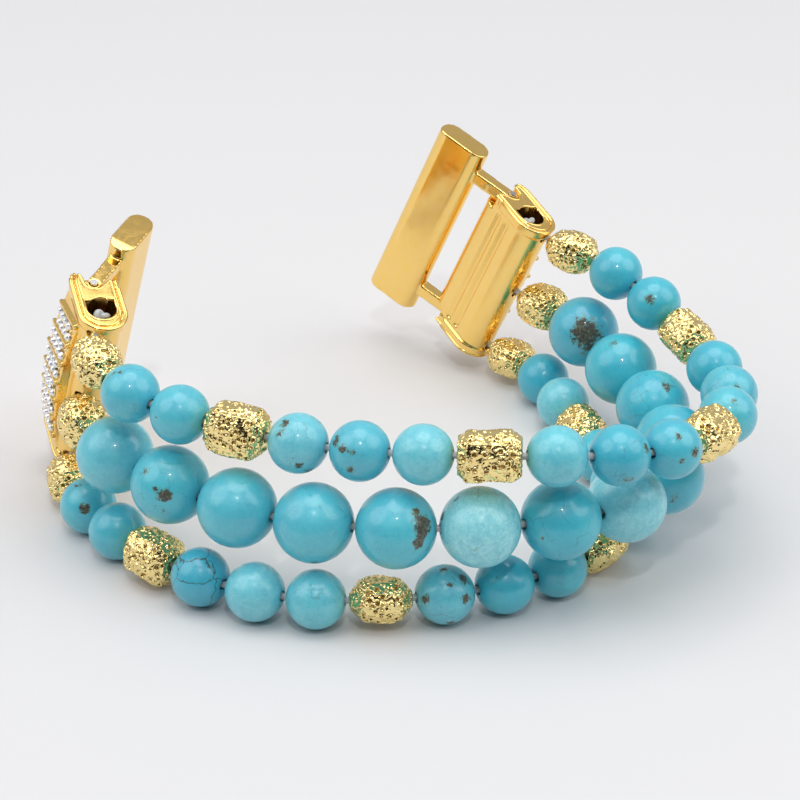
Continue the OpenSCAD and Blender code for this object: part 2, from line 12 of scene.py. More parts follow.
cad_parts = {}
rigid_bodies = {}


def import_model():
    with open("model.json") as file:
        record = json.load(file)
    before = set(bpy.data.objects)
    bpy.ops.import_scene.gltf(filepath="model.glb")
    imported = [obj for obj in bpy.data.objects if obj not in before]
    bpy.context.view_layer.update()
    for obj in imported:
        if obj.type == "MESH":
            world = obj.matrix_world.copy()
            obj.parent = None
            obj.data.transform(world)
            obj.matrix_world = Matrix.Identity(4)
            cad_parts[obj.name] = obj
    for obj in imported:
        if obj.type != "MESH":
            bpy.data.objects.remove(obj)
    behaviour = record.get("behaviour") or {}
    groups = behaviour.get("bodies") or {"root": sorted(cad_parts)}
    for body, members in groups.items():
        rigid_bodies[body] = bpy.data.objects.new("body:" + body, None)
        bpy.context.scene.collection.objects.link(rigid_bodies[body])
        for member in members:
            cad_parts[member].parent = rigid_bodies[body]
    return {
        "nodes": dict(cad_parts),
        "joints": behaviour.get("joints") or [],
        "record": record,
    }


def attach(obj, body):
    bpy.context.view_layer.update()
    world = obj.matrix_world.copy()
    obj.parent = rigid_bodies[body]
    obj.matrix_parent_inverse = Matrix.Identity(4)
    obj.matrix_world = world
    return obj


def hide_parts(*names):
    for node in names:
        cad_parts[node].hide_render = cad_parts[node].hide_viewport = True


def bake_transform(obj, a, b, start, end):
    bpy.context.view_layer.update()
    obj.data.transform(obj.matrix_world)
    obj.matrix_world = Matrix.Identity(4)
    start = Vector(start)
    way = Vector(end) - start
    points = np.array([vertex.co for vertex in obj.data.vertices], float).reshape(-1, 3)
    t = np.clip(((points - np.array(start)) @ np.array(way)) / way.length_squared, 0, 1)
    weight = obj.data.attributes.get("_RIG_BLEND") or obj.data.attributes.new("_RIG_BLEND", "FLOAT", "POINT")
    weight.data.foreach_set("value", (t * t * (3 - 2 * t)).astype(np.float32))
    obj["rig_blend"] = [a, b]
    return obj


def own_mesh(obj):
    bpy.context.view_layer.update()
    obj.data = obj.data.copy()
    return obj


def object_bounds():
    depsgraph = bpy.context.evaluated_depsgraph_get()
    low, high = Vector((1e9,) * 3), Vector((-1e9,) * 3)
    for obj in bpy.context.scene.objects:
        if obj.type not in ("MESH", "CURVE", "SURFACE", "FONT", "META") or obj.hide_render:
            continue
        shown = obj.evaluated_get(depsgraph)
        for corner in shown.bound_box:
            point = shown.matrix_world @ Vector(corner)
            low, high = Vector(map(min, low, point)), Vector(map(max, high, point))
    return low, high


for old in list(bpy.data.objects):
    bpy.data.objects.remove(old)
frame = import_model()
CAD_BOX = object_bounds()

bl_info = {
    "name": "Stretch watch band",
    "version": (1, 0, 0),
    "blender": (4, 5, 0),
    "location": "View3D > Sidebar > Band",
    "description": "Dresses the packed frame of a beaded stretch band",
    "category": "Object",
}

MM = 0.001
WELD = 2e-7
CHAIN = ["left_end"] + [f"stretch_{n}" for n in range(1, 10)] + ["right_end"]
STRANDS = ("top", "middle", "bottom")
ROW_SPLIT_Z = 13.9 * MM
LOOP_START_DEG = 130
CAMERA_PITCH = math.radians(28.2)
CAMERA_UP = Vector((0, math.sin(CAMERA_PITCH), math.cos(CAMERA_PITCH)))
CAMERA_BACK = Vector((0, -math.cos(CAMERA_PITCH), math.sin(CAMERA_PITCH)))


# Sizes and colours


def length(name, description, default):
    """A size that a user would change."""
    return FloatProperty(name=name, description=description, default=default, unit="LENGTH")


def paint(name, description, default):
    """A colour that a user would change."""
    return FloatVectorProperty(name=name, description=description, default=default,
                               subtype="COLOR")


class BandSizes(bpy.types.PropertyGroup):
    """Sizes of the details that the frame leaves plain"""

    mouth: length("Bead mouth", "Rounding of a bead's drilled mouths", 0.14 * MM)
    bore: length("Bore", "Radius of the drilled hole", 0.55 * MM)
    nugget_grid: length("Nugget grid", "Mesh size of the nuggets", 0.075 * MM)
    cast_grid: length("Casting grid", "Mesh size of connectors and adapters", 0.12 * MM)
    pit_depth: length("Pit depth", "Depth of the pits in a nugget", 0.2 * MM)
    pit_cell: length("Pit spacing", "Distance between the larger pits", 0.72 * MM)
    cord: length("Cord", "Radius of the elastic cord", 0.35 * MM)
    ridge: length("Ridge", "Radius of the rounded ridges on a connector", 0.25 * MM)
    stone: length("Rhinestone", "Diameter of a rhinestone", 0.9 * MM)


class BandColours(bpy.types.PropertyGroup):
    """Colours of the finishes"""

    turquoise: paint("Turquoise", "Body colour of the stone", (0.062, 0.53, 0.64))
    deep: paint("Deep turquoise", "Darker clouds in the stone", (0.034, 0.38, 0.55))
    pale: paint("Pale turquoise", "Chalky clouds in the stone", (0.36, 0.8, 0.85))
    matrix: paint("Matrix", "Brown rock in the stone", (0.03, 0.017, 0.008))
    gold: paint("Pale gold", "Plating of the nuggets", (1.0, 0.78, 0.33))
    cast_gold: paint("Deep gold", "Plating of connectors and adapters", (1.0, 0.67, 0.2))
    floor: paint("Floor", "Studio floor", (0.7, 0.695, 0.702))
    seed: IntProperty(name="Seed", description="Start of the random marks", default=7)


# Marks in the stones that the camera sees: place on the bead to the right and up, in
# radii, then size in radians and strength
SPOTS = {
    "top_1": [(-0.5, 0.66, 0.13, 0.7), (-0.25, 0.72, 0.12, 0.75), (-0.65, 0.55, 0.1, 0.6)],
    "top_2": [(-0.7, -0.12, 0.06, 0.9)],
    "top_3": [(-0.42, 0.66, 0.22, 0.8), (-0.58, 0.3, 0.18, 0.75), (0.05, -0.72, 0.14, 0.95),
              (-0.1, -0.48, 0.08, 0.7), (0.35, -0.9, 0.2, 0.8)],
    "top_4": [(-0.76, 0.34, 0.2, 0.85), (-0.55, 0.08, 0.18, 0.85), (-0.25, 0.0, 0.14, 0.75),
              (-0.28, -0.58, 0.14, 0.85)],
    "top_5": [(0.1, -0.45, 0.14, 0.45)],
    "top_6": [(-0.5, -0.2, 0.08, 0.6), (0.75, 0.4, 0.1, 0.6)],
    "top_7": [(0.82, 0.25, 0.18, 0.9), (0.2, -0.8, 0.3, 0.55)],
    "top_8": [(0.1, 0.38, 0.13, 0.85), (0.68, -0.08, 0.2, 0.85), (0.22, -0.38, 0.12, 0.75)],
    "top_9": [(0.1, 0.5, 0.15, 0.7)],
    "top_10": [(0.1, 0.1, 0.2, 0.85)],
    "top_12": [(-0.25, 0.1, 0.22, 0.7)],
    "middle_1": [(-0.55, -0.5, 0.5, 0.28)],
    "middle_2": [(-0.05, -0.25, 0.18, 1.0), (-0.55, 0.36, 0.14, 0.65), (-0.25, -0.1, 0.12, 0.6),
                 (-0.2, -0.6, 0.2, 0.45)],
    "middle_4": [(0.05, -0.96, 0.2, 0.6)],
    "middle_5": [(0.66, 0.12, 0.26, 1.05), (0.5, 0.42, 0.13, 0.95), (0.54, -0.32, 0.16, 1.0),
                 (0.62, -0.12, 0.16, 0.95), (0.75, -0.48, 0.07, 0.7)],
    "middle_6": [(-0.93, 0.28, 0.12, 0.95), (-0.6, 0.68, 0.1, 0.7), (-0.1, -0.5, 0.07, 0.7)],
    "middle_7": [(-0.5, -0.4, 0.05, 0.9)],
    "middle_9": [(0.1, -0.55, 0.18, 0.6)],
    "middle_11": [(0.3, 0.55, 0.2, 0.7)],
    "middle_12": [(-0.25, 0.7, 0.2, 0.6)],
    "middle_13": [(0.0, -0.1, 0.42, 1.0), (-0.12, 0.2, 0.22, 0.9), (0.1, -0.5, 0.3, 0.7)],
    "bottom_1": [(-0.3, 0.75, 0.2, 0.7), (0.0, -0.05, 0.2, 0.95)],
    "bottom_5": [(-0.15, 0.5, 0.06, 0.8)],
    "bottom_6": [(0.6, 0.56, 0.22, 0.95), (0.7, -0.08, 0.2, 0.9), (-0.66, -0.1, 0.2, 0.8),
                 (0.15, 0.4, 0.12, 0.75), (-0.1, 0.85, 0.2, 0.7), (0.2, -0.9, 0.2, 0.75)],
    "bottom_7": [(-0.3, 0.3, 0.08, 0.6)],
}
# How chalky, how deep in tone and how veined some stones are, from 0 to 1
PALE = {"middle_6": 1.0, "middle_8": 0.8, "bottom_4": 0.55, "top_5": 0.5, "top_3": 0.45,
        "middle_1": 0.35, "bottom_5": 0.4, "top_6": 0.4, "bottom_6": 0.35, "bottom_12": 0.5}
DEEP = {"bottom_3": 0.8, "middle_13": 0.75, "top_4": 0.45, "top_7": 0.4, "bottom_2": 0.35,
        "middle_9": 0.4, "bottom_6": 0.3, "bottom_13": 0.6, "top_8": 0.3}
VEINS = {"bottom_3": 1.0, "top_7": 0.35, "bottom_6": 0.4, "top_1": 0.25}


# Reading the frame

DRILLED = ("large_bead", "small_beads", "top_nugget", "middle_nugget", "bottom_nugget")
BORE_SHARE = 0.985


def mean_point(points):
    return sum(points, Vector()) / len(points)


def off_axis(step, axis):
    """The part of a step that is square to an axis."""
    return step - step.dot(axis) * axis


def joint_named(name):
    return next(joint for joint in frame["joints"] if joint["name"] == name)


def hinge_of(name):
    """Middle and upward direction of the hinge between a connector and its adapter."""
    joint = joint_named(name + "_adapter_fold")
    up = Vector(joint["axis"]).normalized()
    return Vector(joint["pos_m"]), up if up.z > 0 else -up


def points_of(node):
    return [v.co for v in frame["nodes"][node].data.vertices]


def widest_side(faces, digits):
    """Direction and middle of the widest flat side among faces, each given with its direction."""
    sides = {}
    for face, normal in faces:
        key = tuple(round(c, digits) for c in normal)
        total, way, place = sides.get(key, (0.0, Vector(), Vector()))
        area = face.calc_area()
        sides[key] = (total + area, way + normal * area, place + face.calc_center_median() * area)
    total, way, place = max(sides.values(), key=lambda side: side[0])
    return way.normalized(), place / total


def merged_copy(node):
    """The node's mesh as a bmesh, its loose triangles joined."""
    bm = bmesh.new()
    bm.from_mesh(frame["nodes"][node].data)
    bmesh.ops.remove_doubles(bm, verts=bm.verts, dist=WELD)
    bm.verts.ensure_lookup_table()
    bm.verts.index_update()
    return bm


def solids_of(bm):
    """The separate solids of a mesh, each as a list of vertices."""
    seen = [False] * len(bm.verts)
    groups = []
    for first in bm.verts:
        if seen[first.index]:
            continue
        seen[first.index] = True
        group, waiting = [], [first]
        while waiting:
            vert = waiting.pop()
            group.append(vert)
            for edge in vert.link_edges:
                other = edge.other_vert(vert)
                if not seen[other.index]:
                    seen[other.index] = True
                    waiting.append(other)
        groups.append(group)
    return groups


def drilled_place(group):
    """Centre and direction of the hole through a bead or nugget, and how far its skin reaches."""
    longest = max(e.calc_length() for v in group for e in v.link_edges)
    first, axis, rim = None, Vector(), {}
    for vert in group:
        for edge in vert.link_edges:
            if edge.calc_length() < BORE_SHARE * longest:
                continue
            step = edge.verts[1].co - edge.verts[0].co
            first = first or step.copy()
            axis += step if step.dot(first) > 0 else -step
            for v in edge.verts:
                rim[v.index] = v.co
    centre = mean_point(rim.values())
    radius = max((v.co - centre).length for v in group)
    return centre, axis.normalized(), radius


def loop_angle(point):
    """How far round the loop a point is, from the left connector by the front."""
    return (math.degrees(math.atan2(point.y, point.x)) - LOOP_START_DEG) % 360


def read_items():
    """Beads and nuggets of each strand in order, with node, bodies, centre, axis and radius."""
    body_of = {n: b for b, nodes in frame["record"]["behaviour"]["bodies"].items() for n in nodes}
    strands = {row: [] for row in STRANDS}
    for node in sorted(frame["nodes"]):
        if not node.startswith(DRILLED):
            continue
        bm = merged_copy(node)
        for group in solids_of(bm):
            centre, axis, radius = drilled_place(group)
            if node.startswith(("large", "middle")):
                row = "middle"
            elif node.startswith("small"):
                row = "top" if centre.z > ROW_SPLIT_Z else "bottom"
            else:
                row = node.split("_")[0]
            strands[row].append({"node": node, "body": body_of[node], "centre": centre,
                                 "axis": axis, "radius": radius})
        bm.free()
    carriers = {j["child"]: j["parent"] for j in frame["joints"]
                if j["child"].startswith("large_bead")}
    for row, items in strands.items():
        items.sort(key=lambda item: loop_angle(item["centre"]))
        count = 0
        for i, item in enumerate(items):
            before, after = items[max(i - 1, 0)], items[min(i + 1, len(items) - 1)]
            if item["axis"].dot(after["centre"] - before["centre"]) < 0:
                item["axis"] = -item["axis"]
            item["carrier"] = carriers.get(item["body"], item["body"])
            if "bead" in item["node"]:
                count += 1
                item["name"] = f"{row}_{count}"
    return strands


ITEMS = read_items()


# Making pieces

SMOOTH_FACTOR = 0.5
NUGGET_ROUNDS = 6
CAST_ROUNDS = 8


def add_object(name, data):
    obj = bpy.data.objects.new(name, data)
    bpy.context.scene.collection.objects.link(obj)
    return obj


def piece_from(bm, name, smooth=True):
    """A new object from a finished bmesh."""
    for face in bm.faces:
        face.smooth = smooth
    mesh = bpy.data.meshes.new(name)
    bm.to_mesh(mesh)
    bm.free()
    return add_object(name, mesh)


def dress(obj, slot, body=None, nodes=()):
    """Gives a piece its material and its place on the frame."""
    obj.data.materials.clear()
    obj.data.materials.append(finish(slot))
    if body:
        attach(obj, body)
    if nodes:
        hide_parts(*nodes)


def evaluated_mesh(obj):
    """The mesh that an object's curve or modifiers make."""
    graph = bpy.context.evaluated_depsgraph_get()
    return bpy.data.meshes.new_from_object(obj.evaluated_get(graph))


def casting(node, grid, rounds):
    """A closed and evenly meshed copy of a node with its edges rounded, as cast metal has them."""
    obj = piece_from(merged_copy(node), "gold_" + node)
    remesh = obj.modifiers.new("Remesh", "REMESH")
    remesh.mode = "VOXEL"
    remesh.voxel_size = grid
    remesh.use_smooth_shade = True
    soften = obj.modifiers.new("Smooth", "SMOOTH")
    soften.factor = SMOOTH_FACTOR
    soften.iterations = rounds
    mesh, plain = evaluated_mesh(obj), obj.data
    obj.modifiers.clear()
    obj.data = mesh
    mesh.name = obj.name
    bpy.data.meshes.remove(plain)
    return obj


def tube_piece(name, lines, radius, rounding=3):
    """Round tubes along lines of points, as one mesh; a line that ends at its start is a ring."""
    curve = bpy.data.curves.new(name, "CURVE")
    curve.dimensions = "3D"
    curve.bevel_depth = radius
    curve.bevel_resolution = rounding
    curve.use_fill_caps = True
    for points in lines:
        closed = (Vector(points[0]) - Vector(points[-1])).length < WELD
        if closed:
            points = points[:-1]
        spline = curve.splines.new("POLY")
        spline.use_cyclic_u = closed
        spline.points.add(len(points) - 1)
        for target, point in zip(spline.points, points):
            target.co = (*point, 1)
            target.radius = 1
    rod = add_object(name + "_line", curve)
    mesh = evaluated_mesh(rod)
    bpy.data.objects.remove(rod)
    bm = bmesh.new()
    bm.from_mesh(mesh)
    bpy.data.meshes.remove(mesh)
    bmesh.ops.remove_doubles(bm, verts=bm.verts, dist=WELD)
    bmesh.ops.recalc_face_normals(bm, faces=bm.faces)
    return piece_from(bm, name)


def soft_step(low, high, value):
    """From 0 at low to 1 at high, with soft ends."""
    t = min(max((value - low) / (high - low), 0), 1)
    return t * t * (3 - 2 * t)


# Materials

# Fixed tones of the finishes; where there are two, the colour drifts between them
OLIVE_ROCK = (0.16, 0.11, 0.04, 1)
GREEN_ROCK = (0.12, 0.3, 0.28, 1)
HALO = (0.14, 0.26, 0.17, 1)
VEIN = (0.05, 0.06, 0.04, 1)
RHINESTONE_TONES = (0.98, 0.98, 1.0, 1), (0.85, 0.88, 0.92, 1)
STEEL_TONES = (0.66, 0.65, 0.64, 1), (0.5, 0.5, 0.52, 1)
CORD_TONES = (0.82, 0.85, 0.86, 1), (0.64, 0.69, 0.72, 1)
# How strongly some effects show in the stone and the gold
PLAIN_SHARE = 0.45
CHALK_SHARE = 0.5
BREAKUP = 1.7
VEIN_BEND = 1.1
ROCK_ROUGH = 0.3
ROCK_HEIGHT = 0.3
GRAIN_HEIGHT = 0.12
PIT_ROUGH = 0.12
FINE_HEIGHT = 0.25


def set_inputs(tree, node, inputs):
    """Sets a node's inputs to values or links them to sockets."""
    for key, value in inputs.items():
        if isinstance(value, bpy.types.NodeSocket):
            tree.links.new(value, node.inputs[key])
        else:
            node.inputs[key].default_value = value


def add_node(tree, kind, inputs=None, **settings):
    """The outputs of a new node with its settings and inputs."""
    node = tree.nodes.new(kind)
    for key, value in settings.items():
        setattr(node, key, value)
    set_inputs(tree, node, inputs or {})
    return node.outputs


def mix(tree, factor, a, b):
    return add_node(tree, "ShaderNodeMix", {0: factor, 6: a, 7: b}, data_type="RGBA")[2]


def calc(tree, operation, a, b, clamp=False):
    return add_node(tree, "ShaderNodeMath", {0: a, 1: b}, operation=operation, use_clamp=clamp)[0]


def calc_vector(tree, operation, inputs):
    return add_node(tree, "ShaderNodeVectorMath", inputs, operation=operation)[0]


def times(tree, a, b):
    return calc(tree, "MULTIPLY", a, b)


def tint(tree, body, tone, mask, share):
    """A colour that takes on a tone where a mask shows, up to a share."""
    return mix(tree, times(tree, mask, share), body, tone)


def fade(tree, value, low, high, to_low=0.0, to_high=1.0):
    """A soft step between low and high."""
    return add_node(tree, "ShaderNodeMapRange",
                    {"Value": value, "From Min": low, "From Max": high,
                     "To Min": to_low, "To Max": to_high},
                    interpolation_type="SMOOTHSTEP")["Result"]


def noise_value(tree, place, scale, detail=3.0, rough=0.55, bend=0.0):
    return add_node(tree, "ShaderNodeTexNoise",
                    {"Vector": place, "Scale": scale, "Detail": detail, "Roughness": rough,
                     "Distortion": bend})["Fac"]


def attribute(tree, name):
    return add_node(tree, "ShaderNodeAttribute", attribute_name=name)["Fac"]


def place_in_mm(tree):
    """Object coordinates in millimetres."""
    place = add_node(tree, "ShaderNodeTexCoord")["Object"]
    return add_node(tree, "ShaderNodeMapping",
                    {"Vector": place, "Scale": (1 / MM, 1 / MM, 1 / MM)})[0]


def new_group(name, inputs):
    """An empty node group with inputs and their defaults, and the outputs of a finish."""
    tree = bpy.data.node_groups.new(name, "ShaderNodeTree")
    for label, default in inputs.items():
        kind = "NodeSocketFloat" if isinstance(default, float) else "NodeSocketColor"
        socket = tree.interface.new_socket(name=label, in_out="INPUT", socket_type=kind)
        socket.default_value = default
    for label, kind in (("Color", "Color"), ("Roughness", "Float"), ("Height", "Float")):
        tree.interface.new_socket(name=label, in_out="OUTPUT", socket_type="NodeSocket" + kind)
    return tree, tree.nodes.new("NodeGroupInput").outputs


def close_group(tree, colour, rough, height):
    """Links what the group of a finish puts out."""
    set_inputs(tree, tree.nodes.new("NodeGroupOutput"),
               {"Color": colour, "Roughness": rough, "Height": height})
    return tree


def stone_group():
    """Turquoise: cloudy colour, chalky mottling, brown matrix patches and thin dark veins."""
    if "turquoise_stone" in bpy.data.node_groups:
        return bpy.data.node_groups["turquoise_stone"]
    colours = bpy.context.scene.band_colours
    tree, source = new_group("turquoise_stone", {
        "Body": (*colours.turquoise, 1), "Deep": (*colours.deep, 1),
        "Pale": (*colours.pale, 1), "Matrix": (*colours.matrix, 1), "Clouds": 0.3})
    place = place_in_mm(tree)
    clouds = noise_value(tree, place, source["Clouds"], detail=4, rough=0.6, bend=0.6)
    mottle = noise_value(tree, place, scale=1.6, detail=5, rough=0.7, bend=0.8)
    grain = noise_value(tree, place, scale=9.0, detail=4, rough=0.65)
    pale = attribute(tree, "pale")
    body = mix(tree, fade(tree, clouds, 0.38, 0.68), source["Body"], source["Deep"])
    body = mix(tree, PLAIN_SHARE, body, source["Body"])
    body = tint(tree, body, source["Deep"], attribute(tree, "deep"), share=0.8)
    chalk = times(tree, fade(tree, mottle, 0.3, 0.7, to_high=0.55), pale)
    chalk = calc(tree, "ADD", chalk, times(tree, pale, CHALK_SHARE), clamp=True)
    body = mix(tree, chalk, body, source["Pale"])
    body = tint(tree, body, source["Pale"], fade(tree, grain, 0.56, 0.72), share=0.3)
    body = tint(tree, body, source["Deep"], fade(tree, grain, 0.5, 0.3), share=0.22)
    # Matrix: a soft mask in the mesh, broken up by noise
    breakup = noise_value(tree, place, scale=1.9, detail=6, rough=0.68, bend=0.5)
    breakup = times(tree, calc(tree, "SUBTRACT", breakup, 0.5), BREAKUP)
    mask = calc(tree, "ADD", attribute(tree, "matrix"), breakup)
    core = fade(tree, mask, 0.5, 0.7)
    rock = noise_value(tree, place, scale=3.2, detail=6, rough=0.8)
    olive = mix(tree, fade(tree, rock, 0.46, 0.6), source["Matrix"], OLIVE_ROCK)
    olive = mix(tree, fade(tree, rock, 0.56, 0.68), olive, GREEN_ROCK)
    body = tint(tree, body, HALO, fade(tree, mask, 0.36, 0.56), share=0.45)
    body = tint(tree, body, olive, core, share=0.93)
    # Veins: the edges of bent cells, shown where the noise lets them
    bent = add_node(tree, "ShaderNodeTexNoise", {"Vector": place, "Scale": 0.9, "Detail": 3.0})
    shift = calc_vector(tree, "SUBTRACT", {0: bent["Color"], 1: (0.5, 0.5, 0.5)})
    shift = calc_vector(tree, "SCALE", {0: shift, "Scale": VEIN_BEND})
    moved = calc_vector(tree, "ADD", {0: place, 1: shift})
    cells = add_node(tree, "ShaderNodeTexVoronoi", {"Vector": moved, "Scale": 0.34},
                     feature="DISTANCE_TO_EDGE")["Distance"]
    vein = attribute(tree, "vein")
    shown = fade(tree, noise_value(tree, place, scale=0.55, detail=2), 0.44, 0.56)
    shown = calc(tree, "MAXIMUM", times(tree, shown, vein), fade(tree, vein, 0.6, 0.9))
    veins = times(tree, fade(tree, cells, 0.022, 0.006), shown)
    body = tint(tree, body, VEIN, veins, share=0.85)
    rough = calc(tree, "ADD", times(tree, core, ROCK_ROUGH),
                 fade(tree, grain, 0.3, 0.7, to_low=0.28, to_high=0.36))
    dips = times(tree, core, calc(tree, "ADD", rock, ROCK_HEIGHT))
    height = calc(tree, "SUBTRACT", times(tree, grain, GRAIN_HEIGHT),
                  calc(tree, "ADD", dips, veins))
    return close_group(tree, body, rough, height)


def gold_group():
    """Plated gold: small changes of tone and polish, and painted shade that darkens the colour where the
    surface is pitted.
    """
    if "plated_gold" in bpy.data.node_groups:
        return bpy.data.node_groups["plated_gold"]
    tree, source = new_group("plated_gold", {
        "Gold": (1, 0.76, 0.28, 1), "Second": (1, 0.84, 0.45, 1),
        "Crevice": (0.3, 0.15, 0.03, 1), "Polish": 0.16, "Grain": 3.0})
    place, pit = place_in_mm(tree), attribute(tree, "pit")
    tone = noise_value(tree, place, scale=0.8, detail=4, rough=0.6)
    skin = noise_value(tree, place, source["Grain"], detail=5, rough=0.6)
    fine = noise_value(tree, place, scale=14.0, detail=3, rough=0.6)
    body = mix(tree, fade(tree, tone, 0.35, 0.65, to_high=0.3), source["Gold"], source["Second"])
    # Painted shade in the pits: the colour darkens towards a deeper, darker gold
    body = tint(tree, body, source["Crevice"], pit, share=0.85)
    rough = calc(tree, "ADD", source["Polish"],
                 fade(tree, skin, 0.35, 0.7, to_low=-0.02, to_high=0.06))
    rough = calc(tree, "ADD", rough, times(tree, pit, PIT_ROUGH))
    height = calc(tree, "ADD", skin, times(tree, fine, FINE_HEIGHT))
    return close_group(tree, body, rough, height)


def shade(tree, inputs):
    """Sets or links inputs of the material's own shader."""
    set_inputs(tree, tree.nodes["Principled BSDF"], inputs)


def relief(tree, height, strength, depth):
    return add_node(tree, "ShaderNodeBump",
                    {"Height": height, "Strength": strength, "Distance": depth})["Normal"]


def drift(tree, value, low, high, tones, share=1.0):
    """A colour that drifts between two tones with a value."""
    return mix(tree, fade(tree, value, low, high, to_high=share), *tones)


def shade_by_group(tree, group, values, strength, depth):
    """Takes the shader's colour, roughness and bump from a group."""
    effect = add_node(tree, "ShaderNodeGroup", values, node_tree=group)
    shade(tree, {"Base Color": effect["Color"], "Roughness": effect["Roughness"],
                 "Normal": relief(tree, effect["Height"], strength, depth)})


def turquoise(tree, clouds):
    """Polished stone; clouds is their number to the millimetre."""
    shade(tree, {"Coat Weight": 0.5, "Coat Roughness": 0.03, "IOR": 1.5})
    shade_by_group(tree, stone_group(), {"Clouds": clouds}, strength=0.25, depth=0.02 * MM)


def gold(tree, plating, polish, grain, strength, depth):
    """Plating in one of the two golds."""
    red, green, blue = getattr(bpy.context.scene.band_colours, plating)
    shade(tree, {"Metallic": 1.0})
    shade_by_group(tree, gold_group(), {
        "Gold": (red, green, blue, 1), "Second": (red, green + 0.06, blue + 0.1, 1),
        # A darker, deeper gold, painted as shade into the pits
        "Crevice": (0.3 * red, 0.2 * green, 0.1 * blue, 1),
        "Polish": polish, "Grain": grain}, strength, depth)


def rhinestone(tree):
    """Silvered glass under a clear coat."""
    tones = drift(tree, noise_value(tree, place_in_mm(tree), scale=1.3, detail=2),
                  0.35, 0.65, RHINESTONE_TONES)
    shade(tree, {"Base Color": tones, "Metallic": 0.55, "Roughness": 0.04,
                 "Coat Weight": 1.0, "Coat Roughness": 0.02})


def steel(tree):
    """Drawn steel of the spring bars."""
    lines = noise_value(tree, place_in_mm(tree), scale=6.0, detail=4)
    shade(tree, {"Base Color": drift(tree, lines, 0.4, 0.65, STEEL_TONES), "Metallic": 1.0,
                 "Roughness": fade(tree, lines, 0.3, 0.7, to_low=0.16, to_high=0.34)})


def elastic(tree):
    """Milky elastic with fine threads."""
    threads = noise_value(tree, place_in_mm(tree), scale=5.0, detail=4)
    shade(tree, {"Base Color": drift(tree, threads, 0.35, 0.65, CORD_TONES), "Roughness": 0.32,
                 "Transmission Weight": 0.35, "IOR": 1.45,
                 "Normal": relief(tree, threads, strength=0.3, depth=0.03 * MM)})


def studio_floor(tree):
    """Matt pale floor with a faint drift of tone."""
    colour = bpy.context.scene.band_colours.floor
    spread = noise_value(tree, add_node(tree, "ShaderNodeTexCoord")["Object"], 4.0, detail=2)
    tones = (*colour, 1), (*(c * 0.97 for c in colour), 1)
    shade(tree, {"Base Color": drift(tree, spread, 0.3, 0.7, tones, share=0.25),
                 "Roughness": 0.55, "Specular IOR Level": 0.25})


FINISHES = {
    "turquoise_large": lambda tree: turquoise(tree, clouds=0.24),
    "turquoise_small": lambda tree: turquoise(tree, clouds=0.33),
    "gold_nugget": lambda tree: gold(tree, "gold", polish=0.14, grain=2.6,
                                     strength=0.35, depth=0.05 * MM),
    "gold_connector": lambda tree: gold(tree, "cast_gold", polish=0.17, grain=1.6,
                                        strength=0.15, depth=0.03 * MM),
    "gold_adapter": lambda tree: gold(tree, "cast_gold", polish=0.1, grain=1.2,
                                      strength=0.05, depth=0.02 * MM),
    "steel_bar": steel,
    "rhinestone": rhinestone,
    "elastic_cord": elastic,
}
MADE = {}


def new_material(name, build):
    material = bpy.data.materials.new(name)
    material.use_nodes = True
    build(material.node_tree)
    return material


def finish(slot):
    """The material of a slot, made when it is first asked for."""
    if slot not in MADE:
        for old in [m for m in bpy.data.materials if m.name == slot]:
            old.name = "frame_" + slot
        MADE[slot] = new_material(slot, FINISHES[slot])
    return MADE[slot]


# Beads

MARKS = ("matrix", "pale", "deep", "vein")
LARGE_STEPS = 72
SMALL_STEPS = 60
MOUTH_ANGLES = (math.radians(30), math.radians(60))
WALL_SHARE = 0.98
SPOT_FALL = 1.6
# Marks on the side that the camera doesn't see: their number, size and strength
BACK_LEAN = -0.15
BACK_COUNTS = (0, 1, 1, 2, 3)
BACK_SIZE = (0.12, 0.4)
BACK_STRENGTH = (0.6, 1)
# Most chalk and depth of tone, and the choice of veins, of a stone that no table names
MOST_PALE = 0.22
MOST_DEEP = 0.25
VEIN_CHOICE = (0, 0, 0.15, 0.3)


def add_bead(bm, item, sizes, steps):
    """A polished round bead with a drilled hole and rounded mouths, spun round its hole."""
    radius, bore, mouth = item["radius"], sizes.bore, sizes.mouth
    opening = math.asin((bore + mouth) / radius)
    profile = []
    count = steps // 2
    for i in range(count + 1):
        angle = opening + (math.pi - 2 * opening) * i / count
        profile.append((radius * math.sin(angle), radius * math.cos(angle)))
    rim = profile[0][1]
    inner = rim - mouth
    for z in (-1, 1):
        arc = [(bore + mouth * (1 - math.sin(a)), z * (rim - mouth * (1 - math.cos(a))))
               for a in MOUTH_ANGLES]
        wall = [(bore, z * inner * WALL_SHARE)]
        profile += (arc + wall) if z < 0 else (wall + arc[::-1])
    turn = Vector((0, 0, 1)).rotation_difference(item["axis"]).to_matrix()
    verts = [bm.verts.new(item["centre"] + turn @ Vector((r, 0, z))) for r, z in profile]
    edges = [bm.edges.new((a, b)) for a, b in zip(verts, verts[1:] + verts[:1])]
    start = len(bm.verts) - len(verts)
    bmesh.ops.spin(bm, geom=verts + edges, cent=item["centre"], axis=item["axis"],
                   angle=math.tau, steps=steps, use_merge=True)
    bm.verts.ensure_lookup_table()
    mark_bead(bm, bm.verts[start:], item)


